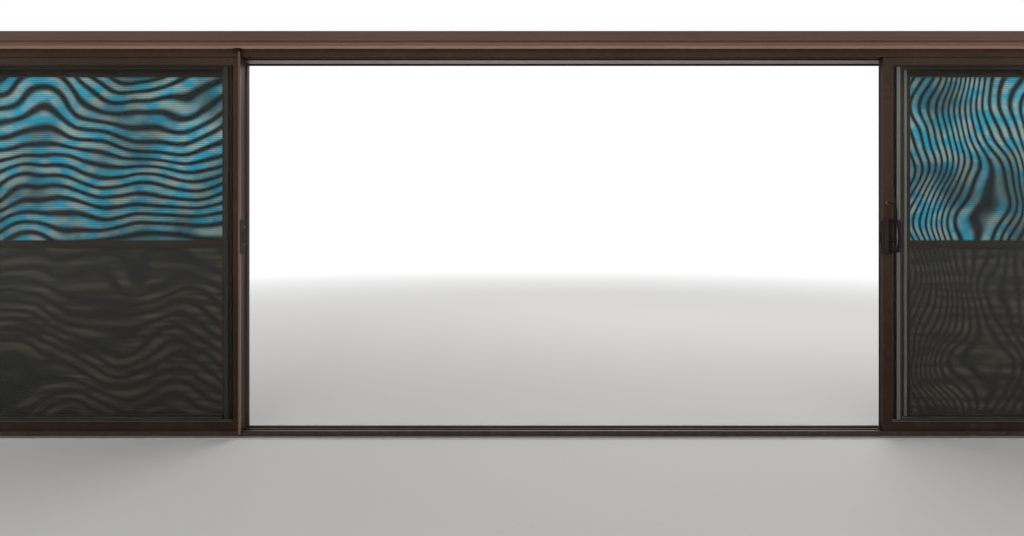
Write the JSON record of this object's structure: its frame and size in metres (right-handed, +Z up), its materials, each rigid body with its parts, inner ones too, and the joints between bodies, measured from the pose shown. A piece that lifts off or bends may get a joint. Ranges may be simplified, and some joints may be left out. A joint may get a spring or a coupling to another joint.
{
  "type": "bi-parting sliding glass door set with insect screens",
  "caption": "Wide sliding glass door set: fixed side panels, doors that part from the middle, insect screens, and a painted timber reveal with architrave.",
  "frame": {"origin": "middle of the sill's underside, halfway between the jambs and between the frame's two faces", "axes": "+X along the wall, to the right as seen from the room; +Y outdoors, -Y into the room; +Z up"},
  "size_m": [7.764, 0.247, 2.172],
  "materials": {
    "bronze_aluminium": "bronze-brown anodised, satin",
    "mill_aluminium": "worn mill finish",
    "painted_timber": "brushed satin paint",
    "clear_glass": "clear float glass",
    "black_rubber": "matt",
    "insect_mesh": "black coated woven wire",
    "black_metal": "black powder coat, worn"
  },
  "bodies": {
    "frame": {"frame_head": "bronze_aluminium", "frame_sill": "bronze_aluminium", "frame_jamb_left": "bronze_aluminium", "frame_jamb_right": "bronze_aluminium", "head_filler": "bronze_aluminium", "floor_trim": "mill_aluminium", "outer_nosing": "mill_aluminium", "reveal_head": "painted_timber", "reveal_sides": "painted_timber", "architrave_head": "painted_timber", "architrave_sides": "painted_timber", "left_fixed_interlock": "bronze_aluminium", "left_fixed_jamb_stile": "bronze_aluminium", "left_fixed_rails": "bronze_aluminium", "right_fixed_interlock": "bronze_aluminium", "right_fixed_jamb_stile": "bronze_aluminium", "right_fixed_rails": "bronze_aluminium", "fixed_glass": "clear_glass", "fixed_gaskets": "black_rubber"},
    "left_door": {"left_door_meeting_stile": "bronze_aluminium", "left_door_interlock": "bronze_aluminium", "left_door_top_rail": "bronze_aluminium", "left_door_bottom_rail": "bronze_aluminium", "left_door_glass": "clear_glass", "left_door_gasket": "black_rubber", "left_door_rollers": "black_metal", "left_door_keeper": "black_metal"},
    "right_door": {"right_door_lock_stile": "bronze_aluminium", "right_door_interlock": "bronze_aluminium", "right_door_top_rail": "bronze_aluminium", "right_door_bottom_rail": "bronze_aluminium", "right_door_glass": "clear_glass", "right_door_gasket": "black_rubber", "right_door_rollers": "black_metal", "right_door_lock_plate": "black_metal", "right_door_pull": "black_metal"},
    "snib": {"right_door_snib": "black_metal"},
    "left_screen": {"left_screen_stiles": "bronze_aluminium", "left_screen_rails": "bronze_aluminium", "left_screen_mesh": "insect_mesh", "left_screen_rollers": "black_metal"},
    "right_screen": {"right_screen_stiles": "bronze_aluminium", "right_screen_rails": "bronze_aluminium", "right_screen_mesh": "insect_mesh", "right_screen_rollers": "black_metal"}
  },
  "joints": [
    {"name": "left_door_slide", "type": "slide", "parent": "frame", "child": "left_door", "axis": [1, 0, 0], "range_m": [0, 1.7335]},
    {"name": "right_door_slide", "type": "slide", "parent": "frame", "child": "right_door", "axis": [-1, 0, 0], "range_m": [0, 1.7335]},
    {"name": "snib_turn", "type": "hinge", "parent": "right_door", "child": "snib", "pos_m": [1.7765, -0.0685, 1.057], "axis": [0, -1, 0], "range_deg": [0, 75]},
    {"name": "left_screen_slide", "type": "slide", "parent": "frame", "child": "left_screen", "axis": [1, 0, 0], "range_m": [-0.149, 1.768]},
    {"name": "right_screen_slide", "type": "slide", "parent": "frame", "child": "right_screen", "axis": [-1, 0, 0], "range_m": [0, 1.917]}
  ]
}
